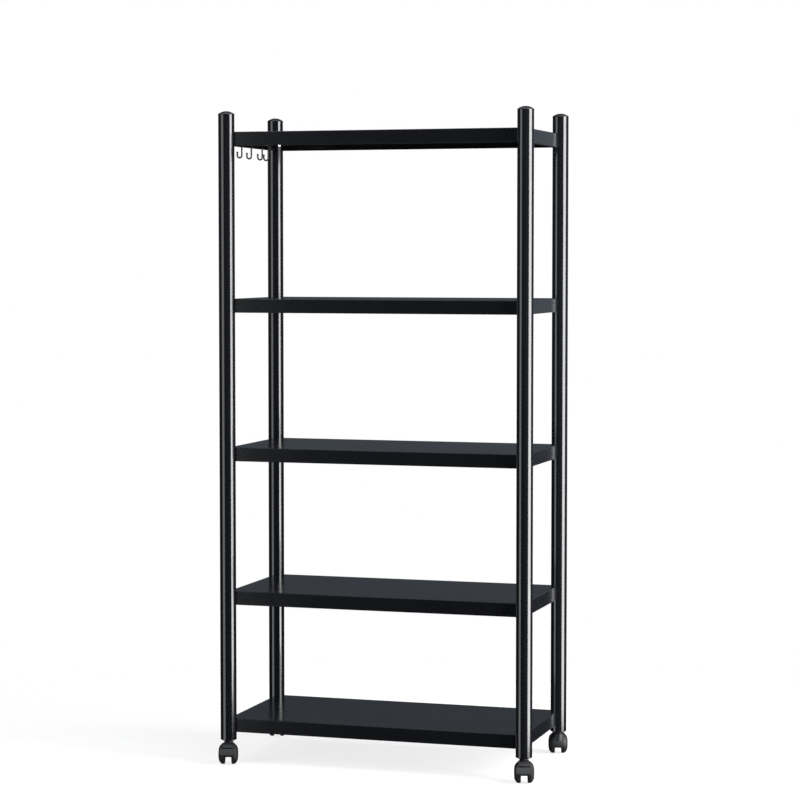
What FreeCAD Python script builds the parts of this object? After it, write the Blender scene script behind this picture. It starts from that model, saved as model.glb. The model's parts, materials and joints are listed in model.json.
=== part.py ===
"""Five-shelf rolling kitchen rack: tube posts, folded sheet shelves, twin-wheel casters, sliding hooks.

Millimetres, +Z up, floor at Z = 0, front towards -Y, origin on the floor under the middle of the rack.
"""
import FreeCAD, Part
import math
import os

import Sketcher

Vector = FreeCAD.Vector

# Driving dimensions: alias, value, meaning
DIMENSIONS = (
    ("post_spacing_x", 760, "between post axes, across"),
    ("post_spacing_y", 350, "between post axes, front to back"),
    ("post_radius", 20, "outside of the round tube"),
    ("post_wall", 1.2, "tube wall"),
    ("post_bottom", 60, "lower end of the tube above the floor"),
    ("post_top", 1610, "upper end of the tube above the floor"),
    ("shelf_level_1", 112, "top face of the bottom shelf"),
    ("shelf_level_2", 431, "top face of the second shelf"),
    ("shelf_level_3", 789, "top face of the third shelf"),
    ("shelf_level_4", 1157, "top face of the fourth shelf"),
    ("shelf_level_5", 1568, "top face of the top shelf"),
    ("skirt", 34, "height of the folded edge"),
    ("sheet_metal", 1, "sheet thickness"),
    ("fold_radius", 2, "outside radius of the fold along the top edges"),
    ("saddle_gap", 0.05, "between the corner saddle and the tube"),
    ("lip", 14, "inward return at the bottom of the skirt"),
    ("lip_relief", 2, "from the saddle to the mitred end of the lip"),
    ("rib_offset", 72, "stiffener from the shelf's middle line"),
    ("rib_end", 24, "from the skirt to the end of the stiffener"),
    ("rib_depth", 15, "height of the stiffener"),
    ("rib_crown", 22, "flat width at the bottom of the stiffener"),
    ("rib_slope", 6, "sideways run of each stiffener flank"),
    ("rib_flange", 12, "welding flange on each side of the stiffener"),
    ("bolt_radius", 3, "bolt shank"),
    ("bolt_length", 14, "shank under the head"),
    ("bolt_flats", 10, "across the flats of the bolt head"),
    ("bolt_head", 4, "height of the bolt head"),
    ("bolt_clearance", 0.3, "around the shank in the saddle"),
    ("nut_radius", 4.5, "rivet nut barrel, flush in the tube wall"),
    ("nut_bulge", 1.5, "how far the upset collar stands out"),
    ("nut_collar", 3, "length of the upset collar"),
    ("nut_length", 11, "rivet nut from the tube's outside inwards"),
    ("cap_dome", 8.5, "rise of the cap"),
    ("cap_rim", 1.2, "straight rim of the cap"),
    ("cap_overhang", 0.4, "rim past the tube"),
    ("plug_gap", 0.05, "plugs inside the tube"),
    ("plug_wall", 2, "wall of the cap's plug"),
    ("plug_length", 16, "cap plug inside the tube"),
    ("socket_nose", 4.5, "height of the socket's nose under the tube end"),
    ("socket_rim", 0.6, "straight edge above the nose's taper"),
    ("socket_tip", 12, "radius at the foot of the nose"),
    ("socket_length", 28, "caster socket inside the tube"),
    ("stem_thread", 5, "radius of the threaded part of the stem"),
    ("stem_thread_length", 24, "threaded part in the socket"),
    ("stem_flats", 17, "across the flats of the stem's hexagon"),
    ("stem_hexagon", 2.5, "height of the stem's hexagon"),
    ("stem_pin", 4, "radius of the swivel pin"),
    ("stem_pin_length", 22, "swivel pin below the hexagon"),
    ("running_gap", 0.05, "radial clearance of turning fits"),
    ("wheel_radius", 25, "caster wheel"),
    ("wheel_inner", 8.6, "inner face of a wheel from the middle"),
    ("wheel_outer", 24, "outer face of a wheel from the middle"),
    ("wheel_tread", 16, "outer end of the tread from the middle"),
    ("wheel_edge", 0.8, "bevel at the inner end of the tread"),
    ("wheel_rim", 4.5, "thickness of the rim"),
    ("wheel_disc", 15, "inner side of the wheel's disc from the middle"),
    ("wheel_face", 10, "radius of the flat middle of the outer face"),
    ("wheel_hub", 6.5, "radius of the hub"),
    ("ring_outer", 8.6, "outer radius of the groove in the outer face"),
    ("ring_inner", 5, "inner radius of the groove in the outer face"),
    ("ring_depth", 0.8, "depth of the groove"),
    ("axle_radius", 3, "caster axle"),
    ("axle_half", 21.5, "half the axle's length"),
    ("axle_room", 0.5, "from the axle's end to the wheel's outer skin"),
    ("caster_turn", 17, "swing of the casters from straight, anticlockwise from above"),
    ("trail", 15, "from the swivel axis back to the axle"),
    ("hood_start", 42, "angle of the hood's trailing edge above the axle"),
    ("hood_sweep", 153, "angle that the hood covers"),
    ("hood_half", 15.5, "half width of the hood"),
    ("hood_edge", 27, "radius of the hood at its sides"),
    ("hood_crown_radius", 100, "sideways curve of the hood's back"),
    ("hood_rounding", 1.3, "rounded side edges of the hood"),
    ("hood_ring", 22, "inner radius of the ring that joins hood and web"),
    ("bay_radius", 25.8, "wheel bay in the hood"),
    ("web_half", 8.1, "half thickness of the web between the wheels"),
    ("web_hub", 8.5, "radius of the web round the axle"),
    ("web_radius", 27.5, "where the web runs into the hood"),
    ("web_chin", 4.8, "how far the leading end of the web drops below the axle"),
    ("lug_low_out", 18.5, "lower corner of the pedal lug, backwards"),
    ("lug_low_up", 8, "lower corner of the pedal lug, upwards"),
    ("lug_nose_out", 20.8, "nose of the pedal lug, backwards"),
    ("lug_nose_up", 14, "nose of the pedal lug, upwards"),
    ("lug_top_out", 17.5, "upper corner of the pedal lug, backwards"),
    ("boss_radius", 12, "swivel boss"),
    ("boss_bottom", 2, "foot of the boss above the axle"),
    ("boss_top", 27.5, "top of the boss above the axle"),
    ("stem_hole_depth", 22.5, "swivel hole in the boss"),
    ("pin_radius", 1.5, "brake pedal pin"),
    ("pin_out", 15.5, "brake pedal pin behind the axle"),
    ("pin_up", 13, "brake pedal pin above the axle"),
    ("pedal_slot_half", 3.7, "half width of the slot for the pedal's knuckle"),
    ("slot_front", 10.5, "slot, nearest the axle"),
    ("slot_low", 5.5, "bottom of the slot above the axle"),
    ("slot_high", 18, "top of the slot above the axle"),
    ("slot_back", 30, "far end of the slot"),
    ("pedal_half", 20, "half width of the brake pedal"),
    ("pedal_top_out", 22.6, "upper edge of the pedal plate, backwards"),
    ("pedal_top_up", 15.5, "upper edge of the pedal plate, upwards"),
    ("pedal_toe_out", 32, "lower edge of the pedal plate, backwards"),
    ("pedal_toe_up", 1, "lower edge of the pedal plate, upwards"),
    ("pedal_depth", 3, "thickness of the pedal plate"),
    ("pedal_corner", 3, "rounded corners of the pedal plate"),
    ("pedal_curve", 40, "radius of the pedal's tread"),
    ("knuckle_radius", 4, "knuckle round the pin"),
    ("knuckle_half", 3.4, "half width of the knuckle"),
    ("hook_wire", 2, "radius of the hook wire"),
    ("hook_gap", 0.2, "between the hook and the lip it slides on"),
    ("hook_rest", 8, "part of the hook that lies on the lip"),
    ("hook_bend", 2.5, "bend over the lip"),
    ("hook_drop", 61.5, "lowest point of the wire's middle below the shelf top"),
    ("hook_bow", 6, "radius of the lower bow"),
    ("hook_tip", 7, "straight end above the bow"),
    ("hook_bead", 2.6, "rounded end of the hook"),
)

# Corner posts: name, side across, side in depth, turn of the post's bolt side about Z
CORNERS = (
    ("front_left", -1, -1, 45),
    ("front_right", 1, -1, 135),
    ("rear_right", 1, 1, 225),
    ("rear_left", -1, 1, 315),
)
SHELVES = ("bottom_shelf", "second_shelf", "third_shelf", "fourth_shelf", "top_shelf")
HOOK_PLACES = (("front", -111), ("second", -44), ("third", 34), ("rear", 78))
STRAIGHT_EDGE = 100
TOUCHING = 1e-6


class Size:
    """A number that keeps the spreadsheet expression it comes from."""

    def __init__(self, value, text):
        self.value = value
        self.text = text

    def __add__(self, other):
        other = as_size(other)
        return Size(self.value + other.value, f"({self.text} + {other.text})")

    def __sub__(self, other):
        other = as_size(other)
        return Size(self.value - other.value, f"({self.text} - {other.text})")

    def __mul__(self, other):
        other = as_size(other)
        return Size(self.value * other.value, f"({self.text} * {other.text})")

    def __truediv__(self, other):
        other = as_size(other)
        return Size(self.value / other.value, f"({self.text} / {other.text})")

    def __rsub__(self, other):
        return as_size(other) - self

    def __neg__(self):
        return as_size(0) - self

    __radd__ = __add__
    __rmul__ = __mul__


def as_size(number):
    return number if isinstance(number, Size) else Size(number, f"({number})")


def root(size):
    return Size(math.sqrt(size.value), f"sqrt({size.text})")


def sine(angle):
    return Size(math.sin(math.radians(angle.value)), f"sin({angle.text} * 1deg)")


def cosine(angle):
    return Size(math.cos(math.radians(angle.value)), f"cos({angle.text} * 1deg)")


def tangent_radius(rise, run):
    """The radius of an arc that starts square to the rise and covers run and rise."""
    return (rise * rise + run * run) / (2 * rise)


class Sizes:
    """The driving dimensions by name, each bound to its spreadsheet cell."""

    def __init__(self, document):
        self.sheet = document.addObject("Spreadsheet::Sheet", "sizes")
        for row, (alias, value, meaning) in enumerate(DIMENSIONS, 1):
            self.sheet.set(f"A{row}", meaning)
            self.sheet.set(f"B{row}", str(value))
            self.sheet.setAlias(f"B{row}", alias)
            setattr(self, alias, Size(value, f"sizes.{alias}"))


doc = FreeCAD.newDocument("kitchen_rack")
size = Sizes(doc)
doc.recompute()
subparts = []


# Sketching and feature helpers
def new_body(label):
    body = doc.addObject("PartDesign::Body", label)
    body.Label = label
    return body


def add_sketch(body, plane, lift=None):
    sketch = body.newObject("Sketcher::SketchObject", f"{body.Name}_sketch")
    support = next(f for f in body.Origin.OriginFeatures if f.Role == plane)
    sketch.AttachmentSupport = [(support, "")]
    sketch.MapMode = "FlatFace"
    if lift is not None:
        sketch.setExpression("AttachmentOffset.Base.z", lift.text)
    return sketch


def bind(sketch, constraint, amount):
    index = sketch.addConstraint(constraint)
    sketch.setExpression(f"Constraints[{index}]", amount.text)


def pin_point(sketch, geometry, point, place):
    for kind, amount in zip(("DistanceX", "DistanceY"), map(as_size, place)):
        bind(sketch, Sketcher.Constraint(kind, -1, 1, geometry, point, amount.value), amount)


def arc_between(start, end, radius, turn):
    """The arc of under a half circle from start to end; turn is 1 anticlockwise, -1 clockwise."""
    chord = end - start
    rise = math.sqrt(radius ** 2 - chord.Length ** 2 / 4)
    centre = (start + end) / 2 + Vector(-chord.y, chord.x, 0) / chord.Length * rise * turn
    angles = [math.atan2(p.y - centre.y, p.x - centre.x) for p in (start, end)[::turn]]
    if angles[1] < angles[0]:
        angles[1] += 2 * math.pi
    return Part.ArcOfCircle(Part.Circle(centre, Vector(0, 0, 1), radius), *angles)


def draw_outline(sketch, points, arcs=None, closed=True):
    """Lines through the points; arcs gives a segment's number its (radius, turn)."""
    arcs = arcs or {}
    spots = [Vector(as_size(x).value, as_size(y).value, 0) for x, y in points]
    count = len(points) if closed else len(points) - 1
    ends = []
    for number in range(count):
        start = spots[number]
        end = spots[(number + 1) % len(spots)]
        if number in arcs:
            radius, turn = arcs[number]
            geometry = sketch.addGeometry(arc_between(start, end, radius.value, turn), False)
            bind(sketch, Sketcher.Constraint("Radius", geometry, radius.value), radius)
        else:
            turn = 1
            geometry = sketch.addGeometry(Part.LineSegment(start, end), False)
        first, last = (1, 2)[::turn]
        ends.append((geometry, first, last))
        pin_point(sketch, geometry, first, points[number])
    for number, (geometry, first, last) in enumerate(ends[:count if closed else -1]):
        following, start = ends[(number + 1) % count][:2]
        sketch.addConstraint(Sketcher.Constraint("Coincident", geometry, last, following, start))
    if not closed:
        pin_point(sketch, ends[-1][0], ends[-1][2], points[-1])


def draw_circle(sketch, centre, radius):
    place = Vector(as_size(centre[0]).value, as_size(centre[1]).value, 0)
    geometry = sketch.addGeometry(Part.Circle(place, Vector(0, 0, 1), radius.value), False)
    pin_point(sketch, geometry, 3, centre)
    bind(sketch, Sketcher.Constraint("Radius", geometry, radius.value), radius)


def draw_hexagon(sketch, flats):
    """A regular hexagon about the sketch's origin, flats apart."""
    corner = flats / math.sqrt(3)
    half = flats / 2
    draw_outline(sketch, [(corner, 0), (corner / 2, half), (-corner / 2, half),
                          (-corner, 0), (-corner / 2, -half), (corner / 2, -half)])


def extrude(body, kind, sketch, length, middle=False, reverse=False):
    """A Pad or a Pocket, checked for having changed the solid."""
    before = body.Shape.Volume if body.Tip else 0
    feature = body.newObject(f"PartDesign::{kind}", f"{body.Name}_{kind}")
    feature.Profile = sketch
    feature.Midplane = middle
    feature.Reversed = reverse
    feature.setExpression("Length", length.text)
    doc.recompute()
    if abs(body.Shape.Volume - before) < TOUCHING:
        raise RuntimeError(f"{feature.Name} changes nothing")
    return feature


def turn_profile(body, kind, sketch, sweep=None):
    """A Revolution or a Groove about the sketch's horizontal axis."""
    feature = body.newObject(f"PartDesign::{kind}", f"{body.Name}_{kind}")
    feature.Profile = sketch
    feature.ReferenceAxis = (sketch, ["H_Axis"])
    feature.Angle = 360
    if sweep is not None:
        feature.setExpression("Angle", sweep.text)
    doc.recompute()
    return feature


def round_edges(body, feature, radius, wanted):
    """A Fillet on the feature's edges that pass the test."""
    names = [f"Edge{number}" for number, edge in enumerate(feature.Shape.Edges, 1) if wanted(edge)]
    fillet = body.newObject("PartDesign::Fillet", f"{body.Name}_Fillet")
    fillet.Base = (feature, names)
    fillet.setExpression("Radius", radius.text)
    doc.recompute()


def is_top_fold(edge):
    """A long straight edge at height zero."""
    box = edge.BoundBox
    return abs(box.ZMin) < TOUCHING and box.ZLength < TOUCHING and edge.Length > STRAIGHT_EDGE


def is_arc(edge, radius):
    return isinstance(edge.Curve, Part.Circle) and abs(edge.Curve.Radius - radius) < TOUCHING


def revolve_upright(body, points, arcs=None):
    """A full turn about Z of a profile given as (radius, height)."""
    sketch = add_sketch(body, "XZ_Plane")
    draw_outline(sketch, points, arcs)
    feature = body.newObject("PartDesign::Revolution", f"{body.Name}_Revolution")
    feature.Profile = sketch
    feature.ReferenceAxis = (sketch, ["V_Axis"])
    feature.Angle = 360
    doc.recompute()
    return feature


def place(thing, where, turn=as_size(0)):
    """Move a finished sub-part to its place, turned about Z, and list it for writing."""
    thing.Placement = FreeCAD.Placement(Vector(), FreeCAD.Rotation(Vector(0, 0, 1), 1))
    thing.setExpression("Placement.Rotation.Angle", turn.text)
    for axis, amount in zip("xyz", where):
        thing.setExpression(f"Placement.Base.{axis}", as_size(amount).text)
    subparts.append(thing)


def shelf_levels():
    return [getattr(size, f"shelf_level_{number}") for number in range(1, len(SHELVES) + 1)]


def corner_axis(side_x, side_y):
    return side_x * size.post_spacing_x / 2, side_y * size.post_spacing_y / 2


# Posts and their ends
def make_post(corner, side_x, side_y, turn):
    body = new_body(f"{corner}_post")
    section = add_sketch(body, "XY_Plane")
    draw_circle(section, (0, 0), size.post_radius)
    draw_circle(section, (0, 0), size.post_radius - size.post_wall)
    extrude(body, "Pad", section, size.post_top - size.post_bottom)
    holes = add_sketch(body, "YZ_Plane")
    for level in shelf_levels():
        draw_circle(holes, (0, level - size.skirt / 2 - size.post_bottom), size.nut_radius)
    extrude(body, "Pocket", holes, size.post_radius * 2, reverse=True)
    place(body, (*corner_axis(side_x, side_y), size.post_bottom), as_size(turn))


def make_cap(corner, side_x, side_y):
    """A domed plug: rim on the tube's end, hollow barrel inside the tube."""
    body = new_body(f"{corner}_cap")
    rim = size.post_radius + size.cap_overhang
    barrel = size.post_radius - size.post_wall - size.plug_gap
    inside = barrel - size.plug_wall
    rise = size.cap_dome - size.cap_rim
    revolve_upright(
        body,
        [(0, size.cap_dome), (rim, size.cap_rim), (rim, 0), (barrel, 0), (barrel, -size.plug_length),
         (inside, -size.plug_length), (inside, -size.plug_wall), (0, -size.plug_wall)],
        {0: (tangent_radius(rise, rim), -1)},
    )
    place(body, (*corner_axis(side_x, side_y), size.post_top))


def make_socket(corner, side_x, side_y):
    """The threaded plug in the lower end of a post, with a tapered nose below it."""
    body = new_body(f"{corner}_caster_socket")
    barrel = size.post_radius - size.post_wall - size.plug_gap
    revolve_upright(
        body,
        [(size.stem_thread, -size.socket_nose), (size.socket_tip, -size.socket_nose),
         (size.post_radius, -size.socket_rim), (size.post_radius, 0), (barrel, 0),
         (barrel, size.socket_length), (size.stem_thread, size.socket_length)],
    )
    place(body, (*corner_axis(side_x, side_y), size.post_bottom))


# Shelves
def shelf_outline(sketch, inset, notch):
    """The shelf's rectangle with a hollow quarter circle at each post."""
    half_x = size.post_spacing_x / 2
    half_y = size.post_spacing_y / 2
    reach = root(notch * notch - inset * inset)
    points = []
    for side_x, side_y in ((1, 1), (-1, 1), (-1, -1), (1, -1)):
        on_end = (side_x * (half_x - inset), side_y * (half_y - reach))
        on_front = (side_x * (half_x - reach), side_y * (half_y - inset))
        points += [on_end, on_front] if side_x == side_y else [on_front, on_end]
    draw_outline(sketch, points, {number: (notch, -1) for number in (0, 2, 4, 6)})


def draw_lip(sketch, side, span, length_across):
    """One mitred lip: side is the skirt's distance from the middle, span half the skirt's length."""
    for sign in (1, -1):
        outer = sign * side
        inner = sign * (side - size.lip)
        ends = [(outer, span), (inner, span - size.lip), (inner, size.lip - span), (outer, -span)]
        draw_outline(sketch, [(v, u) if length_across else (u, v) for u, v in ends])


def make_shelf(name, level):
    """A folded tray, open below: top, skirts, corner saddles and inward lips."""
    body = new_body(name)
    notch = size.post_radius + size.saddle_gap
    block = add_sketch(body, "XY_Plane")
    shelf_outline(block, as_size(0), notch)
    pad = extrude(body, "Pad", block, size.skirt, reverse=True)
    round_edges(body, pad, size.fold_radius, is_top_fold)
    hollow = add_sketch(body, "XY_Plane", -size.skirt)
    shelf_outline(hollow, size.sheet_metal, notch + size.sheet_metal)
    extrude(body, "Pocket", hollow, size.skirt - size.sheet_metal, reverse=True)
    half_x = size.post_spacing_x / 2
    half_y = size.post_spacing_y / 2
    clear = notch + size.sheet_metal + size.lip_relief
    lips = add_sketch(body, "XY_Plane", -size.skirt)
    draw_lip(lips, half_y, half_x - clear, True)
    draw_lip(lips, half_x, half_y - clear, False)
    extrude(body, "Pad", lips, size.sheet_metal)
    for corner, side_x, side_y, turn in CORNERS:
        across, deep = corner_axis(side_x, side_y)
        hole = add_sketch(body, "YZ_Plane", across)
        hole.AttachmentOffset = FreeCAD.Placement(Vector(), FreeCAD.Rotation(Vector(0, 1, 0), turn))
        hole.setExpression("AttachmentOffset.Base.x", deep.text)
        draw_circle(hole, (0, -size.skirt / 2), size.bolt_radius + size.bolt_clearance)
        extrude(body, "Pocket", hole, size.post_radius * 2, reverse=True)
    place(body, (0, 0, level))


def make_ribs(name, level):
    """Two hat-section stiffeners welded under a shelf's top."""
    body = new_body(f"{name}_ribs")
    section = add_sketch(body, "YZ_Plane")
    wall = size.sheet_metal
    top = -wall
    bottom = top - size.rib_depth
    for side in (1, -1):
        middle = side * size.rib_offset
        crown = size.rib_crown / 2
        shoulder = crown + size.rib_slope
        toe = shoulder + size.rib_flange
        half = [(toe, top), (toe, top - wall), (shoulder + wall, top - wall), (crown + wall, bottom)]
        inner = [(crown, bottom + wall), (shoulder, top)]
        outside = half + [(-u, v) for u, v in half[::-1]]
        inside = [(-u, v) for u, v in inner[::-1]] + inner
        draw_outline(section, [(middle + u, v) for u, v in outside + inside])
    extrude(body, "Pad", section, size.post_spacing_x - 2 * size.rib_end, middle=True)
    place(body, (0, 0, level))


# Fasteners
def make_bolt_form():
    """A hexagon bolt along +X: underside of the head at X = 0, shank towards -X."""
    body = new_body("bolt_form")
    shank = add_sketch(body, "YZ_Plane")
    draw_circle(shank, (0, 0), size.bolt_radius)
    extrude(body, "Pad", shank, size.bolt_length, reverse=True)
    head = add_sketch(body, "YZ_Plane")
    draw_hexagon(head, size.bolt_flats)
    extrude(body, "Pad", head, size.bolt_head)
    return body


def make_nut_form():
    """A rivet nut along X, flush with the tube's outside at X = 0, its upset collar inside the wall."""
    body = new_body("rivet_nut_form")
    section = add_sketch(body, "XY_Plane")
    collar = size.nut_radius + size.nut_bulge
    behind = -(size.post_wall + size.nut_bulge)
    draw_outline(section, [
        (-size.post_wall / 2, size.bolt_radius), (-size.post_wall / 2, size.nut_radius),
        (behind, size.nut_radius), (behind, collar), (behind - size.nut_collar, collar),
        (behind - size.nut_collar, size.nut_radius), (-size.nut_length, size.nut_radius),
        (-size.nut_length, size.bolt_radius)])
    turn_profile(body, "Revolution", section)
    return body


def copies(form, spots):
    """One solid of the form for each (place, turn about Z)."""
    solids = []
    for where, turn in spots:
        solid = form.Shape.Solids[0].copy()
        solid.Placement = FreeCAD.Placement(where, FreeCAD.Rotation(Vector(0, 0, 1), turn))
        solids.append(solid)
    return Part.makeCompound(solids)


def group(label, shape):
    thing = doc.addObject("Part::Feature", label)
    thing.Label = label
    thing.Shape = shape
    subparts.append(thing)


def diagonal_spots(corner, distance):
    """Places along a corner's bolt line, at every shelf, so far from the post's axis."""
    name, side_x, side_y, turn = corner
    across, deep = corner_axis(side_x, side_y)
    heading = Vector(math.cos(math.radians(turn)), math.sin(math.radians(turn)), 0)
    spots = []
    for level in shelf_levels():
        axis = Vector(across.value, deep.value, level.value - size.skirt.value / 2)
        spots.append((axis + heading * distance.value, turn))
    return spots


def make_fasteners():
    seat = size.post_radius + size.saddle_gap + size.sheet_metal
    bolt = make_bolt_form()
    group("shelf_bolts", copies(bolt, [s for c in CORNERS for s in diagonal_spots(c, seat)]))
    nut = make_nut_form()
    for corner in CORNERS:
        group(f"{corner[0]}_rivet_nuts", copies(nut, diagonal_spots(corner, size.post_radius)))


# Casters
def axle_place(side_x, side_y):
    """The middle of a caster's axle: front casters trail forwards, rear ones backwards."""
    across, deep = corner_axis(side_x, side_y)
    trail = side_y * size.trail
    return across - trail * sine(size.caster_turn), deep + trail * cosine(size.caster_turn), size.wheel_radius


def caster_turn(forwards):
    return size.caster_turn + (180 if forwards else 0)


def make_stem(corner, side_x, side_y):
    """Threaded upper end, hexagon and swivel pin."""
    body = new_body(f"{corner}_caster_stem")
    face = size.post_bottom - size.socket_nose
    under = -size.stem_hexagon
    revolve_upright(body, [(0, -size.stem_hexagon - size.stem_pin_length),
                           (size.stem_pin, -size.stem_hexagon - size.stem_pin_length),
                           (size.stem_pin, under), (size.stem_thread, under),
                           (size.stem_thread, size.stem_thread_length), (0, size.stem_thread_length)])
    hexagon = add_sketch(body, "XY_Plane")
    draw_hexagon(hexagon, size.stem_flats)
    extrude(body, "Pad", hexagon, size.stem_hexagon, reverse=True)
    place(body, (*corner_axis(side_x, side_y), face))


def make_hood(corner, side_x, side_y):
    """The caster's body, about the axle: crowned hood, web between the wheels, boss and pedal lug."""
    body = new_body(f"{corner}_caster_hood")
    crown = add_sketch(body, "XY_Plane")
    crown.AttachmentOffset = FreeCAD.Placement(Vector(), FreeCAD.Rotation(Vector(1, 0, 0), 1))
    crown.setExpression("AttachmentOffset.Rotation.Angle", size.hood_start.text)
    draw_outline(
        crown,
        [(-size.hood_half, size.hood_ring), (-size.hood_half, size.hood_edge),
         (size.hood_half, size.hood_edge), (size.hood_half, size.hood_ring)],
        {1: (size.hood_crown_radius, -1)},
    )
    shell = turn_profile(body, "Revolution", crown, size.hood_sweep)
    round_edges(body, shell, size.hood_rounding, lambda edge: is_arc(edge, size.hood_edge.value))
    web = add_sketch(body, "YZ_Plane")
    top_up = root(size.web_radius * size.web_radius - size.lug_top_out * size.lug_top_out)
    chin_out = root(size.web_radius * size.web_radius - size.web_chin * size.web_chin)
    draw_outline(
        web,
        [(-chin_out, -size.web_chin), (0, -size.web_hub), (size.web_hub, 0),
         (size.lug_low_out, size.lug_low_up), (size.lug_nose_out, size.lug_nose_up),
         (size.lug_top_out, top_up)],
        {1: (size.web_hub, 1), 5: (size.web_radius, 1)},
    )
    extrude(body, "Pad", web, 2 * size.web_half, middle=True)
    boss = add_sketch(body, "XY_Plane", size.boss_bottom)
    draw_circle(boss, (0, -size.trail), size.boss_radius)
    extrude(body, "Pad", boss, size.boss_top - size.boss_bottom)
    bays = add_sketch(body, "XY_Plane")
    for side in (1, -1):
        near = side * size.web_half
        far = side * (size.hood_half + size.web_half)
        draw_outline(bays, [(near, 0), (far, 0), (far, size.bay_radius), (near, size.bay_radius)])
    turn_profile(body, "Groove", bays)
    swivel = add_sketch(body, "XY_Plane", size.boss_top)
    draw_circle(swivel, (0, -size.trail), size.stem_pin + size.running_gap)
    extrude(body, "Pocket", swivel, size.stem_hole_depth)
    holes = add_sketch(body, "YZ_Plane")
    draw_circle(holes, (0, 0), size.axle_radius)
    draw_circle(holes, (size.pin_out, size.pin_up), size.pin_radius)
    extrude(body, "Pocket", holes, 4 * size.web_half, middle=True)
    slot = add_sketch(body, "YZ_Plane")
    draw_outline(slot, [(size.slot_front, size.slot_low), (size.slot_back, size.slot_low),
                        (size.slot_back, size.slot_high), (size.slot_front, size.slot_high)])
    extrude(body, "Pocket", slot, 2 * size.pedal_slot_half, middle=True)
    place(body, axle_place(side_x, side_y), caster_turn(side_y < 0))


def make_rod(label, half_length, radius, out, up, side_x, side_y):
    """A plain steel pin across the caster, so far behind and above the axle's middle."""
    body = new_body(label)
    section = add_sketch(body, "YZ_Plane")
    draw_circle(section, (out, up), radius)
    extrude(body, "Pad", section, 2 * half_length, middle=True)
    place(body, axle_place(side_x, side_y), caster_turn(side_y < 0))


def make_wheel(corner, side_x, side_y, name, outward):
    """One wheel about the axle: hub, disc, rim and a rounded outer face over a blind bore."""
    body = new_body(f"{corner}_{name}")
    section = add_sketch(body, "XY_Plane")
    bore = size.axle_radius + size.running_gap
    blind = size.axle_half + size.axle_room
    groove = size.wheel_outer - size.ring_depth
    inside = size.wheel_radius - size.wheel_rim
    face_curve = tangent_radius(size.wheel_outer - size.wheel_tread, size.wheel_radius - size.wheel_face)
    draw_outline(
        section,
        [(size.wheel_inner, bore), (size.wheel_inner, size.wheel_hub), (size.wheel_disc, size.wheel_hub),
         (size.wheel_disc, inside), (size.wheel_inner, inside),
         (size.wheel_inner, size.wheel_radius - size.wheel_edge),
         (size.wheel_inner + size.wheel_edge, size.wheel_radius), (size.wheel_tread, size.wheel_radius),
         (size.wheel_outer, size.wheel_face), (size.wheel_outer, size.ring_outer),
         (groove, size.ring_outer), (groove, size.ring_inner), (size.wheel_outer, size.ring_inner),
         (size.wheel_outer, 0), (blind, 0), (blind, bore)],
        {7: (face_curve, -1)},
    )
    turn_profile(body, "Revolution", section)
    place(body, axle_place(side_x, side_y), caster_turn(outward < 0))


def make_pedal(corner, side_x, side_y):
    """The brake pedal, released: a wide curved plate on a knuckle between the wheels."""
    body = new_body(f"{corner}_brake_pedal")
    run_out = size.pedal_toe_out - size.pedal_top_out
    run_up = size.pedal_top_up - size.pedal_toe_up
    length = root(run_out * run_out + run_up * run_up)
    thick_out = size.pedal_depth * run_up / length
    thick_up = size.pedal_depth * run_out / length
    plate = add_sketch(body, "YZ_Plane")
    draw_outline(
        plate,
        [(size.pedal_top_out, size.pedal_top_up), (size.pedal_toe_out, size.pedal_toe_up),
         (size.pedal_toe_out + thick_out, size.pedal_toe_up + thick_up),
         (size.pedal_top_out + thick_out, size.pedal_top_up + thick_up)],
        {2: (size.pedal_curve, 1)},
    )
    pad = extrude(body, "Pad", plate, 2 * size.pedal_half, middle=True)
    depth = size.pedal_depth.value
    round_edges(body, pad, size.pedal_corner, lambda edge: abs(edge.Length - depth) < TOUCHING)
    arm = add_sketch(body, "YZ_Plane")
    radius = size.knuckle_radius
    middle_out = (size.pedal_top_out + size.pedal_toe_out) / 2
    middle_up = (size.pedal_top_up + size.pedal_toe_up) / 2
    draw_outline(
        arm,
        [(size.pin_out, size.pin_up + radius), (size.pin_out - radius, size.pin_up),
         (size.pin_out, size.pin_up - radius), (middle_out + thick_out / 2, middle_up),
         (size.pedal_top_out + thick_out / 2, size.pedal_top_up)],
        {0: (radius, 1), 1: (radius, 1)},
    )
    extrude(body, "Pad", arm, 2 * size.knuckle_half, middle=True)
    eye = add_sketch(body, "YZ_Plane")
    draw_circle(eye, (size.pin_out, size.pin_up), size.pin_radius + size.running_gap)
    extrude(body, "Pocket", eye, 2 * size.pedal_half, middle=True)
    place(body, axle_place(side_x, side_y), caster_turn(side_y < 0))


def make_caster(corner, side_x, side_y):
    make_stem(corner, side_x, side_y)
    make_hood(corner, side_x, side_y)
    make_rod(f"{corner}_axle", size.axle_half, size.axle_radius, 0, 0, side_x, side_y)
    make_wheel(corner, side_x, side_y, "left_wheel", -1)
    make_wheel(corner, side_x, side_y, "right_wheel", 1)
    make_rod(f"{corner}_brake_pin", size.web_half, size.pin_radius, size.pin_out, size.pin_up, side_x, side_y)
    make_pedal(corner, side_x, side_y)


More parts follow.
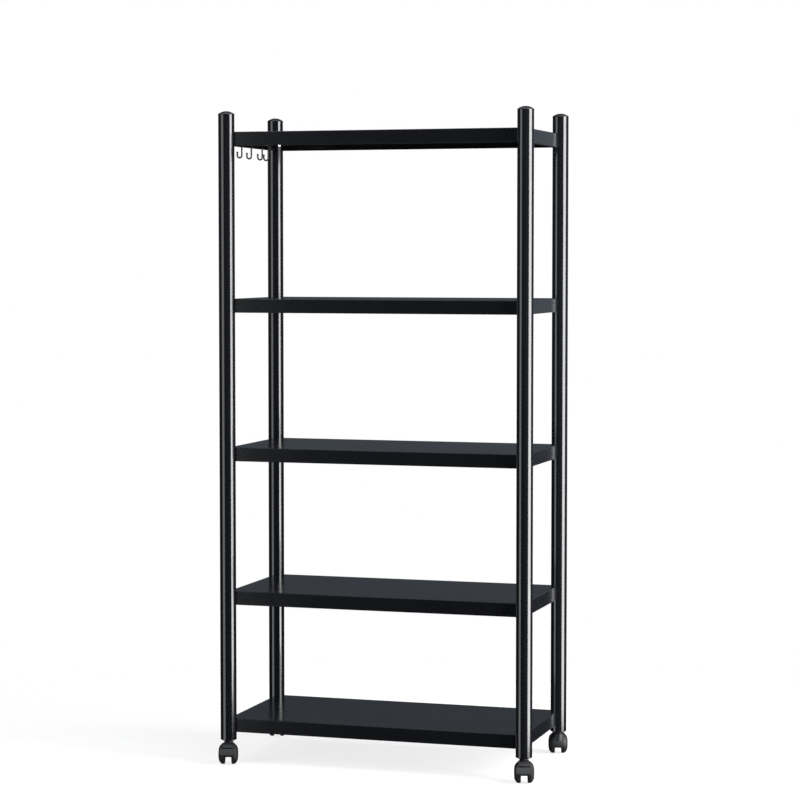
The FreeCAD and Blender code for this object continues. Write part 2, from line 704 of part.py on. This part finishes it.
# Hooks
def make_hook(name, along):
    """Bent wire over the left lip of the top shelf: X from the skirt's face, Z from the shelf's top."""
    body = new_body(f"{name}_hook")
    wire = size.hook_wire
    rest_up = -size.skirt + size.sheet_metal + size.hook_gap + wire
    stem = size.lip + size.hook_gap + wire
    start = stem - size.hook_bend - size.hook_rest
    low = -size.hook_drop
    centre_up = low + size.hook_bow
    tip = stem - 2 * size.hook_bow
    route = add_sketch(body, "XZ_Plane")
    draw_outline(
        route,
        [(start, rest_up), (stem - size.hook_bend, rest_up), (stem, rest_up - size.hook_bend),
         (stem, centre_up), (stem - size.hook_bow, low), (tip, centre_up), (tip, centre_up + size.hook_tip)],
        {1: (size.hook_bend, -1), 3: (size.hook_bow, -1), 4: (size.hook_bow, -1)},
        closed=False,
    )
    section = add_sketch(body, "YZ_Plane", start)
    draw_circle(section, (0, rest_up), wire)
    pipe = body.newObject("PartDesign::AdditivePipe", f"{name}_hook_wire")
    pipe.Profile = section
    pipe.Spine = (route, [])
    doc.recompute()
    bead = body.newObject("PartDesign::AdditiveSphere", f"{name}_hook_bead")
    bead.setExpression("Radius", size.hook_bead.text)
    support = next(f for f in body.Origin.OriginFeatures if f.Role == "XY_Plane")
    bead.AttachmentSupport = [(support, "")]
    bead.MapMode = "FlatFace"
    bead.setExpression("AttachmentOffset.Base.x", tip.text)
    bead.setExpression("AttachmentOffset.Base.z", (centre_up + size.hook_tip).text)
    doc.recompute()
    place(body, (-size.post_spacing_x / 2, along, size.shelf_level_5))


def build():
    for corner, side_x, side_y, turn in CORNERS:
        make_post(corner, side_x, side_y, turn)
        make_cap(corner, side_x, side_y)
        make_socket(corner, side_x, side_y)
        make_caster(corner, side_x, side_y)
    for name, level in zip(SHELVES, shelf_levels()):
        make_shelf(name, level)
        make_ribs(name, level)
    make_fasteners()
    for name, along in HOOK_PLACES:
        make_hook(name, along)
    doc.recompute()


def write_parts():
    """Check the whole document, then write one file for each sub-part."""
    for thing in doc.Objects:
        if {"Invalid", "Error"} & set(thing.State):
            raise RuntimeError(f"{thing.Label} failed: {thing.State}")
    for thing in subparts:
        if thing.Shape.isNull() or not thing.Shape.isValid():
            raise RuntimeError(f"{thing.Label} has no valid shape")
    os.makedirs("parts", exist_ok=True)
    for thing in subparts:
        thing.Shape.exportStep(f"parts/{thing.Label}.step")
    print(len(subparts), "sub-parts written")


build()
write_parts()
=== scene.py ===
"""Looks of the five-shelf rolling rack: finishes, smooth tubes and shelves, weld marks, pedal ridges."""
import json
import math

import bmesh
import bpy
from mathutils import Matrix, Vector


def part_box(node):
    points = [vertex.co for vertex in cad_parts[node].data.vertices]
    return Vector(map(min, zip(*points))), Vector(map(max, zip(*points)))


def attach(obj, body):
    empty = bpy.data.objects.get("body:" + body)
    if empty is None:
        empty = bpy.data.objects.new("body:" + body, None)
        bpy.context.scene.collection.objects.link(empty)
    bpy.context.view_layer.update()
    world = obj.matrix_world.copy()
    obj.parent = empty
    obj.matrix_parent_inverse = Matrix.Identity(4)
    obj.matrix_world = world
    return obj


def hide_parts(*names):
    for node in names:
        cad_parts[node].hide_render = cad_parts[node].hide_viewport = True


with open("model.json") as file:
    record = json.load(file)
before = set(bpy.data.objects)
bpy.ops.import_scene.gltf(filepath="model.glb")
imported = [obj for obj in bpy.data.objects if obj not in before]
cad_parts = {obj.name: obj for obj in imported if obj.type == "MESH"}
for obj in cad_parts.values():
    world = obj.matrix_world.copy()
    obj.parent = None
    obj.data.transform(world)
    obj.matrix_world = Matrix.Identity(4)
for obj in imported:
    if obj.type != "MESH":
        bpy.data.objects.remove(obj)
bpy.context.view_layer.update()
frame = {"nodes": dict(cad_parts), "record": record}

NODES = frame["nodes"]
BODY_OF = {node: body for body, members in frame["record"]["behaviour"]["bodies"].items() for node in members}
SLOT_OF = {part["node"]: part["material_slot"] for part in frame["record"]["subparts"]}
CORNERS = ("front_left", "front_right", "rear_right", "rear_left")
SHELVES = ("bottom_shelf", "second_shelf", "third_shelf", "fourth_shelf", "top_shelf")
MM = 0.001


# Shader writing
class Wire:
    """A shader socket; arithmetic on it adds Math nodes."""

    def __init__(self, finish, socket):
        self.finish = finish
        self.socket = socket

    def math(self, operation, first, second):
        return self.finish.node("ShaderNodeMath", {"operation": operation}, {0: first, 1: second})["Value"]

    def __add__(self, other):
        return self.math("ADD", self, other)

    def __sub__(self, other):
        return self.math("SUBTRACT", self, other)

    def __rsub__(self, other):
        return self.math("SUBTRACT", other, self)

    def __mul__(self, other):
        return self.math("MULTIPLY", self, other)

    def __pow__(self, other):
        return self.math("POWER", self, other)


class Outputs:
    """A node's outputs by name or number, each as a Wire."""

    def __init__(self, finish, node):
        self.finish = finish
        self.node = node

    def __getitem__(self, name):
        return Wire(self.finish, self.node.outputs[name])


# A Mix node's colour sockets share their names with those of its other types, so they go by number
MIX_SHARE, MIX_FIRST, MIX_SECOND, MIX_RESULT = 0, 6, 7, 2


class Finish:
    """One procedural material on Object coordinates."""

    def __init__(self, name):
        self.material = bpy.data.materials.new(name)
        self.material.use_nodes = True
        self.tree = self.material.node_tree
        self.tree.nodes.clear()
        self.shader = self.node("ShaderNodeBsdfPrincipled")
        self.node("ShaderNodeOutputMaterial", {}, {"Surface": self.shader["BSDF"]})
        self.place = self.node("ShaderNodeTexCoord")["Object"]

    def node(self, kind, settings=None, inputs=None):
        """Add a node: settings first, then its sockets by name or number."""
        node = self.tree.nodes.new(kind)
        for key, value in (settings or {}).items():
            setattr(node, key, value)
        for key, value in (inputs or {}).items():
            if isinstance(value, Wire):
                self.tree.links.new(value.socket, node.inputs[key])
            else:
                node.inputs[key].default_value = value
        return Outputs(self, node)

    def noise(self, scale, detail=3.0, roughness=0.55, stretch=None):
        """Noise from 0 to 1; scale is per metre, stretch squeezes it along each axis."""
        where = self.place
        if stretch:
            where = self.node("ShaderNodeMapping", {}, {"Vector": where, "Scale": stretch})["Vector"]
        inputs = {"Vector": where, "Scale": scale, "Detail": detail, "Roughness": roughness}
        return self.node("ShaderNodeTexNoise", {}, inputs)["Fac"]

    def between(self, value, low, high):
        """The value's passage from low to high as 0 to 1, smoothed."""
        inputs = {"Value": value, "From Min": low, "From Max": high}
        return self.node("ShaderNodeMapRange", {"interpolation_type": "SMOOTHSTEP"}, inputs)["Result"]

    def mix(self, share, first, second):
        """The colour on the way from first to second."""
        inputs = {MIX_SHARE: share, MIX_FIRST: first, MIX_SECOND: second}
        return self.node("ShaderNodeMix", {"data_type": "RGBA"}, inputs)[MIX_RESULT]

    def facing_up(self):
        """1 on faces that look up, where dust settles."""
        normal = self.node("ShaderNodeNewGeometry")["Normal"]
        upward = self.node("ShaderNodeSeparateXYZ", {}, {0: normal})["Z"]
        return self.between(upward, 0.6, 0.98)

    def set(self, **sockets):
        """Principled sockets by name, with _ for a space."""
        for key, value in sockets.items():
            socket = self.shader.node.inputs[key.replace("_", " ")]
            if isinstance(value, Wire):
                self.tree.links.new(value.socket, socket)
            else:
                socket.default_value = value

    def bump(self, height, strength, depth):
        inputs = {"Height": height, "Strength": strength, "Distance": depth}
        self.set(Normal=self.node("ShaderNodeBump", {}, inputs)["Normal"])


POST_SPOT = (380 * MM, 175 * MM)
COAT_CHANGE = (20.3 * MM, 21.5 * MM)


def beside_posts(finish):
    """0 on the tubes, 1 on everything further from their axes."""
    spot = finish.node("ShaderNodeSeparateXYZ", {}, {0: finish.place})
    squares = []
    for axis, reach in zip("XY", POST_SPOT):
        side = finish.node("ShaderNodeMath", {"operation": "ABSOLUTE"}, {0: spot[axis]})["Value"]
        squares.append((side - reach) ** 2.0)
    return finish.between((squares[0] + squares[1]) ** 0.5, *COAT_CHANGE)


def powder_coat(name, colour, dusty, gloss=0.12):
    """Black powder coat: orange peel, cloudy gloss, dust on what faces up, duller off the tubes."""
    finish = Finish(name)
    clouds = finish.noise(7.0, 4.0)
    peel = finish.noise(1400.0, 2.0)
    specks = finish.between(finish.noise(5200.0, 1.0), 0.66, 0.74)
    dust = finish.facing_up() * finish.between(finish.noise(24.0, 6.0, 0.7), 0.42, 0.8) * 0.5
    base = finish.mix(clouds, colour, [channel * 1.35 for channel in colour[:3]] + [1.0])
    base = finish.mix(specks * 0.06, base, (0.10, 0.105, 0.12, 1.0))
    finish.set(
        Base_Color=finish.mix(dust, base, dusty),
        Roughness=clouds * 0.04 + (gloss - 0.02) + dust * 0.10 + beside_posts(finish) * 0.05,
        Specular_IOR_Level=0.5,
        IOR=1.5,
    )
    finish.bump(peel, 0.006, 0.0004)
    return finish.material


def moulded_plastic(name, colour, gloss, worn=0.0):
    """Moulded nylon: fine grain, slight mottling, optional scuffing."""
    finish = Finish(name)
    grain = finish.noise(2600.0, 2.0)
    mottle = finish.noise(60.0, 4.0)
    scuffs = finish.between(finish.noise(300.0, 5.0, 0.7, (0.25, 1.0, 1.0)), 0.55, 0.72) * worn
    base = finish.mix(mottle, colour, [channel * 1.3 for channel in colour[:3]] + [1.0])
    finish.set(
        Base_Color=finish.mix(scuffs, base, (0.11, 0.11, 0.115, 1.0)),
        Roughness=mottle * 0.12 + gloss + scuffs * 0.2,
        Specular_IOR_Level=0.5,
    )
    finish.bump(grain, 0.12, 0.0003)
    return finish.material


# Painted shade: below this height the caster stems are drawn near-black and not metallic.
STEM_SHADE_TOP = (62 * MM, 66 * MM)


def zinc_plate(name):
    """Bright zinc on turned steel: fine lines, uneven passivation, and painted shade at the casters, where the
    stems go near-black and lose their metal look.
    """
    finish = Finish(name)
    height = finish.node("ShaderNodeSeparateXYZ", {}, {0: finish.place})["Z"]
    # Painted shade mask: 0 low on the stems at the casters, rising to 1 above this height.
    unshaded = finish.between(height, *STEM_SHADE_TOP)
    lines = finish.noise(900.0, 3.0, 0.6, (1.0, 0.06, 1.0))
    tint = finish.noise(140.0, 3.0)
    base = finish.mix(tint, (0.58, 0.59, 0.60, 1.0), (0.70, 0.69, 0.64, 1.0))
    finish.set(
        Base_Color=finish.mix(unshaded, (0.012, 0.012, 0.013, 1.0), base),
        Metallic=unshaded,
        Roughness=lines * 0.22 + 0.40 - unshaded * 0.18,
    )
    finish.bump(lines, 0.08, 0.0002)
    return finish.material


FINISHES = {
    "black_steel": powder_coat("satin_black_coat", (0.0042, 0.0045, 0.0056, 1.0), (0.03, 0.032, 0.037, 1.0)),
    "hook_steel": powder_coat("black_hook_paint", (0.006, 0.006, 0.007, 1.0), (0.03, 0.03, 0.034, 1.0), 0.2),
    "black_plastic": moulded_plastic("black_cap_plastic", (0.011, 0.011, 0.0125, 1.0), 0.36),
    "caster_plastic": moulded_plastic("caster_nylon", (0.010, 0.0105, 0.012, 1.0), 0.44),
    "wheel_plastic": moulded_plastic("wheel_nylon", (0.008, 0.008, 0.009, 1.0), 0.48, 0.25),
    "pedal_plastic": moulded_plastic("pedal_nylon", (0.017, 0.018, 0.020, 1.0), 0.46, 0.15),
    "zinc_steel": zinc_plate("bright_zinc"),
}


# Mesh making
def add_piece(name, mesh, body, slot, *nodes):
    """A finished mesh as a piece that rides on a body and may stand for CAD nodes."""
    piece = bpy.data.objects.new(name, mesh)
    bpy.context.scene.collection.objects.link(piece)
    mesh.materials.clear()
    mesh.materials.append(FINISHES[slot])
    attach(piece, body)
    if nodes:
        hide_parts(*nodes)


def finish_shading(mesh, sharp_degrees):
    mesh.shade_smooth()
    mesh.set_sharp_from_angle(angle=math.radians(sharp_degrees))


def lathe(profile, segments, centre):
    """Turn a closed loop of (along, radius) points about the upright axis through centre."""
    mesh = bpy.data.meshes.new("turned")
    build = bmesh.new()
    rings = []
    for distance, radius in profile:
        ring = []
        for step in range(segments):
            angle = 2 * math.pi * step / segments
            reach = Vector((math.cos(angle), math.sin(angle), 0)) * radius
            ring.append(build.verts.new(centre + reach + Vector((0, 0, distance))))
        rings.append(ring)
    for first, second in zip(rings, rings[1:] + rings[:1]):
        for step in range(segments):
            after = (step + 1) % segments
            build.faces.new((first[step], first[after], second[after], second[step]))
    bmesh.ops.recalc_face_normals(build, faces=build.faces)
    build.to_mesh(mesh)
    build.free()
    return mesh


def node_middle(node):
    low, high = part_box(node)
    return (low + high) / 2


MERGE_DISTANCE = 0.002 * MM
FLAT_DEGREES = 0.05
SHARP_DEGREES = 34


def smooth_copy(node):
    """A copy of a CAD node's mesh with whole flat faces, shaded so that they stay flat beside their folds."""
    mesh = NODES[node].data.copy()
    build = bmesh.new()
    build.from_mesh(mesh)
    bmesh.ops.remove_doubles(build, verts=build.verts, dist=MERGE_DISTANCE)
    bmesh.ops.dissolve_limit(build, angle_limit=math.radians(FLAT_DEGREES), verts=build.verts, edges=build.edges)
    build.to_mesh(mesh)
    build.free()
    finish_shading(mesh, SHARP_DEGREES)
    carrier = bpy.data.objects.new(node, mesh)
    bpy.context.scene.collection.objects.link(carrier)
    weigh = carrier.modifiers.new("flat_first", "WEIGHTED_NORMAL")
    weigh.mode = "FACE_AREA"
    weigh.keep_sharp = True
    bpy.context.view_layer.update()
    weighed = bpy.data.meshes.new_from_object(carrier.evaluated_get(bpy.context.evaluated_depsgraph_get()))
    bpy.data.objects.remove(carrier)
    bpy.data.meshes.remove(mesh)
    return weighed


def dress_nodes():
    """Every CAD node but the posts as a smooth copy in its own finish."""
    for node in sorted(NODES):
        if not node.endswith("_post"):
            add_piece(f"{node}_finished", smooth_copy(node), BODY_OF[node], SLOT_OF[node], node)


TUBE_SEGMENTS = 128
TUBE_WALL = 1.2 * MM
TUBE_EDGE = 0.3 * MM
TUBE_SHARP_DEGREES = 30


def dress_posts():
    """The tubes, round enough for their highlights, with the ends' edges broken."""
    for corner in CORNERS:
        node = f"{corner}_post"
        low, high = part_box(node)
        radius = (high.x - low.x) / 2
        inner = radius - TUBE_WALL
        length = high.z - low.z
        rim = radius - TUBE_EDGE
        profile = [(0, inner), (0, rim), (TUBE_EDGE, radius), (length - TUBE_EDGE, radius), (length, rim),
                   (length, inner)]
        middle = node_middle(node)
        mesh = lathe(profile, TUBE_SEGMENTS, Vector((middle.x, middle.y, low.z)))
        finish_shading(mesh, TUBE_SHARP_DEGREES)
        add_piece(f"{corner}_tube", mesh, "rack", "black_steel", node)


# Repeats made with Geometry Nodes
class Recipe:
    """A Geometry Nodes tree that is built once, run on a mesh and kept as a plain mesh."""

    def __init__(self, name, sizes):
        self.tree = bpy.data.node_groups.new(name, "GeometryNodeTree")
        face = self.tree.interface
        face.new_socket("Geometry", in_out="INPUT", socket_type="NodeSocketGeometry")
        self.keys = {}
        for key, (kind, value) in sizes.items():
            socket = face.new_socket(key, in_out="INPUT", socket_type=kind)
            socket.default_value = value
            self.keys[key] = socket.identifier
        face.new_socket("Geometry", in_out="OUTPUT", socket_type="NodeSocketGeometry")
        self.given = self.tree.nodes.new("NodeGroupInput")
        self.result = self.tree.nodes.new("NodeGroupOutput")

    def size(self, key):
        return self.given.outputs[key]

    def node(self, kind, inputs=None, **settings):
        node = self.tree.nodes.new(kind)
        for key, value in settings.items():
            setattr(node, key, value)
        for key, value in (inputs or {}).items():
            if isinstance(value, bpy.types.NodeSocket):
                self.tree.links.new(value, node.inputs[key])
            else:
                node.inputs[key].default_value = value
        return node

    def close(self, geometry, material):
        real = self.node("GeometryNodeRealizeInstances", {"Geometry": geometry})
        painted = self.node("GeometryNodeSetMaterial", {"Geometry": real.outputs[0], "Material": material})
        self.tree.links.new(painted.outputs[0], self.result.inputs[0])

    def run(self, name, points, **sizes):
        """The tree's result on a cloud of points, as a mesh."""
        seed = bpy.data.meshes.new(name)
        seed.from_pydata(points, [], [])
        carrier = bpy.data.objects.new(name, seed)
        bpy.context.scene.collection.objects.link(carrier)
        modifier = carrier.modifiers.new("recipe", "NODES")
        modifier.node_group = self.tree
        for key, value in sizes.items():
            modifier[self.keys[key]] = value
        bpy.context.view_layer.update()
        evaluated = carrier.evaluated_get(bpy.context.evaluated_depsgraph_get())
        mesh = bpy.data.meshes.new_from_object(evaluated)
        carrier.modifiers.remove(modifier)
        bpy.data.objects.remove(carrier)
        return mesh


WELD_FOOT = 1.8 * MM
WELD_SIDES = 14


def weld_spot_recipe():
    """Rows of shallow spot-weld marks, one row from each point along +X."""
    recipe = Recipe("weld_spots", {
        "Count": ("NodeSocketInt", 12), "Spacing": ("NodeSocketFloat", 60 * MM),
        "Radius": ("NodeSocketFloat", 3 * MM), "Depth": ("NodeSocketFloat", 0.4 * MM)})
    step = recipe.node("ShaderNodeCombineXYZ", {"X": recipe.size("Spacing")})
    row = recipe.node("GeometryNodeMeshLine", {"Count": recipe.size("Count"), "Offset": step.outputs[0]})
    rows = recipe.node("GeometryNodeInstanceOnPoints",
                       {"Points": recipe.size("Geometry"), "Instance": row.outputs[0]})
    dots = recipe.node("GeometryNodeRealizeInstances", {"Geometry": rows.outputs[0]})
    mark = recipe.node("GeometryNodeMeshCone", {
        "Vertices": WELD_SIDES, "Radius Top": recipe.size("Radius"), "Radius Bottom": WELD_FOOT,
        "Depth": recipe.size("Depth")})
    marks = recipe.node("GeometryNodeInstanceOnPoints",
                        {"Points": dots.outputs[0], "Instance": mark.outputs["Mesh"]})
    recipe.close(marks.outputs[0], FINISHES["black_steel"])
    return recipe


def ridge_recipe():
    """Grip ridges across a pedal, one bar at each point, leaning with the plate and swung with the caster."""
    recipe = Recipe("pedal_ridges", {
        "Length": ("NodeSocketFloat", 34 * MM), "Width": ("NodeSocketFloat", 1.3 * MM),
        "Height": ("NodeSocketFloat", 1.0 * MM), "Lean": ("NodeSocketFloat", 0.0),
        "Swing": ("NodeSocketFloat", 0.0)})
    extent = recipe.node("ShaderNodeCombineXYZ", {
        "X": recipe.size("Length"), "Y": recipe.size("Width"), "Z": recipe.size("Height")})
    bar = recipe.node("GeometryNodeMeshCube", {"Size": extent.outputs[0]})
    turn = recipe.node("ShaderNodeCombineXYZ", {"X": recipe.size("Lean"), "Z": recipe.size("Swing")})
    bars = recipe.node("GeometryNodeInstanceOnPoints", {
        "Points": recipe.size("Geometry"), "Instance": bar.outputs["Mesh"], "Rotation": turn.outputs[0]})
    recipe.close(bars.outputs[0], FINISHES["pedal_plastic"])
    return recipe


RIB_FLANGE_ROWS = (-95 * MM, -49 * MM, 49 * MM, 95 * MM)
WELD_START = -330 * MM
WELD_DROP = 1.1 * MM
WELD_SHARP_DEGREES = 50


def add_weld_spots():
    """Spot-weld marks on the underside of every rib's flanges."""
    recipe = weld_spot_recipe()
    for shelf in SHELVES:
        low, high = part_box(f"{shelf}_ribs")
        under = high.z - WELD_DROP
        mesh = recipe.run(f"{shelf}_welds", [(WELD_START, row, under) for row in RIB_FLANGE_ROWS])
        finish_shading(mesh, WELD_SHARP_DEGREES)
        add_piece(f"{shelf}_weld_spots", mesh, "rack", "black_steel")


PEDAL_RIDGES = 5
RIDGE_SHARP_DEGREES = 30
RIDGE_SINK = 0.35 * MM
PEDAL_BULGE = 0.6 * MM
PEDAL_TOP = (26.0 * MM, 16.2 * MM)
PEDAL_TOE = (34.6 * MM, 3.0 * MM)


def add_pedal_ridges():
    """Grip ridges that follow each pedal plate from its upper edge to its toe."""
    recipe = ridge_recipe()
    for corner in CORNERS:
        axle = node_middle(f"{corner}_axle")
        trail = axle - node_middle(f"{corner}_post")
        heading = Vector((trail.x, trail.y, 0)).normalized()
        upward = Vector((0, 0, 1))
        top = axle + heading * PEDAL_TOP[0] + upward * PEDAL_TOP[1]
        toe = axle + heading * PEDAL_TOE[0] + upward * PEDAL_TOE[1]
        slope = toe - top
        out = (heading * -slope.z + upward * slope.dot(heading)).normalized()
        points = []
        for number in range(PEDAL_RIDGES):
            share = (number + 0.5) / PEDAL_RIDGES
            rise = PEDAL_BULGE * 4 * share * (1 - share) - RIDGE_SINK
            points.append(tuple(top + slope * share + out * rise))
        lean = -math.acos(out.z)
        swing = math.atan2(-heading.x, heading.y)
        mesh = recipe.run(f"{corner}_ridges", points, Lean=lean, Swing=swing)
        finish_shading(mesh, RIDGE_SHARP_DEGREES)
        add_piece(f"{corner}_pedal_ridges", mesh, f"{corner}_brake_pedal", "pedal_plastic")


# Camera, stage and light
IMAGE_SIDE = 800
FOCAL_PIXELS = 2513.0
CAMERA_PLACE = (1.8738, -5.9808, 1.2705)
CAMERA_YAW = 17.28
CAMERA_DIP = 3.35


def add_camera():
    """The photograph's view: a long lens from the front right, a little above the middle."""
    data = bpy.data.cameras.new("photo_view")
    data.sensor_width = 36.0
    data.lens = FOCAL_PIXELS / IMAGE_SIDE * data.sensor_width
    data.clip_end = 100.0
    camera = bpy.data.objects.new("photo_view", data)
    camera.location = CAMERA_PLACE
    camera.rotation_euler = (math.radians(90 - CAMERA_DIP), 0, math.radians(CAMERA_YAW))
    bpy.context.scene.collection.objects.link(camera)
    bpy.context.scene.camera = camera


FLOOR_RADIUS = 3.0
FLOOR_SEGMENTS = 96
FLOOR_FADE = (0.7, 1.6)
FLOOR_DROP = 0.5 * MM


def add_floor():
    """A pale round floor that fades out into the backdrop."""
    finish = Finish("pale_floor")
    distance = finish.node("ShaderNodeVectorMath", {"operation": "LENGTH"}, {0: finish.place})["Value"]
    finish.set(Base_Color=(0.3, 0.3, 0.3, 1.0), Roughness=0.9, Specular_IOR_Level=0.0,
               Emission_Color=(1.0, 1.0, 1.0, 1.0), Emission_Strength=0.8,
               Alpha=1.0 - finish.between(distance, *FLOOR_FADE))
    mesh = bpy.data.meshes.new("floor")
    build = bmesh.new()
    bmesh.ops.create_circle(build, cap_ends=True, segments=FLOOR_SEGMENTS, radius=FLOOR_RADIUS)
    build.to_mesh(mesh)
    build.free()
    mesh.materials.append(finish.material)
    floor = bpy.data.objects.new("floor", mesh)
    floor.location.z = -FLOOR_DROP
    floor.visible_glossy = False
    bpy.context.scene.collection.objects.link(floor)


def add_light(name, bearing, distance, height, width, tall, power, tint, aim=0.8):
    """A soft panel at a compass bearing from the front (positive towards the right)."""
    data = bpy.data.lights.new(name, "AREA")
    data.shape = "RECTANGLE"
    data.size = width
    data.size_y = tall
    data.energy = power
    data.color = tint
    light = bpy.data.objects.new(name, data)
    angle = math.radians(bearing)
    light.location = (distance * math.sin(angle), -distance * math.cos(angle), height)
    heading = Vector((0, 0, aim)) - light.location
    light.rotation_euler = heading.to_track_quat("-Z", "Y").to_euler()
    bpy.context.scene.collection.objects.link(light)


def add_lights():
    add_light("right_panel", 83, 2.8, 1.15, 1.8, 3.1, 286, (1.0, 1.0, 1.0), 1.15)
    add_light("left_panel", -44, 3.0, 0.9, 1.6, 3.6, 52, (0.95, 0.98, 1.0), 0.9)
    add_light("back_panel", 163, 3.6, 1.35, 0.8, 1.6, 0.6, (0.72, 0.84, 1.0), 1.35)
    add_light("top_panel", 0, 0.4, 4.2, 3.0, 2.4, 60, (1.0, 1.0, 1.0))


def add_backdrop():
    """White to the camera, a dim cool fill to everything else, darker below the horizon."""
    world = bpy.data.worlds.new("studio")
    world.use_nodes = True
    tree = world.node_tree
    tree.nodes.clear()
    seen = tree.nodes.new("ShaderNodeBackground")
    seen.inputs["Color"].default_value = (1.0, 1.0, 1.0, 1.0)
    fill = tree.nodes.new("ShaderNodeBackground")
    fill.inputs["Color"].default_value = (0.74, 0.85, 1.0, 1.0)
    heading = tree.nodes.new("ShaderNodeTexCoord")
    split = tree.nodes.new("ShaderNodeSeparateXYZ")
    level = tree.nodes.new("ShaderNodeMapRange")
    for key, value in (("From Min", -0.13), ("From Max", 0.0), ("To Min", 0.015), ("To Max", 0.11)):
        level.inputs[key].default_value = value
    path = tree.nodes.new("ShaderNodeLightPath")
    either = tree.nodes.new("ShaderNodeMixShader")
    output = tree.nodes.new("ShaderNodeOutputWorld")
    tree.links.new(heading.outputs["Generated"], split.inputs[0])
    tree.links.new(split.outputs["Z"], level.inputs["Value"])
    tree.links.new(level.outputs["Result"], fill.inputs["Strength"])
    tree.links.new(path.outputs["Is Camera Ray"], either.inputs[0])
    tree.links.new(fill.outputs[0], either.inputs[1])
    tree.links.new(seen.outputs[0], either.inputs[2])
    tree.links.new(either.outputs[0], output.inputs["Surface"])
    scene = bpy.context.scene
    scene.world = world
    scene.view_settings.view_transform = "Standard"


dress_posts()
dress_nodes()
add_weld_spots()
add_pedal_ridges()
add_camera()
add_floor()
add_lights()
add_backdrop()
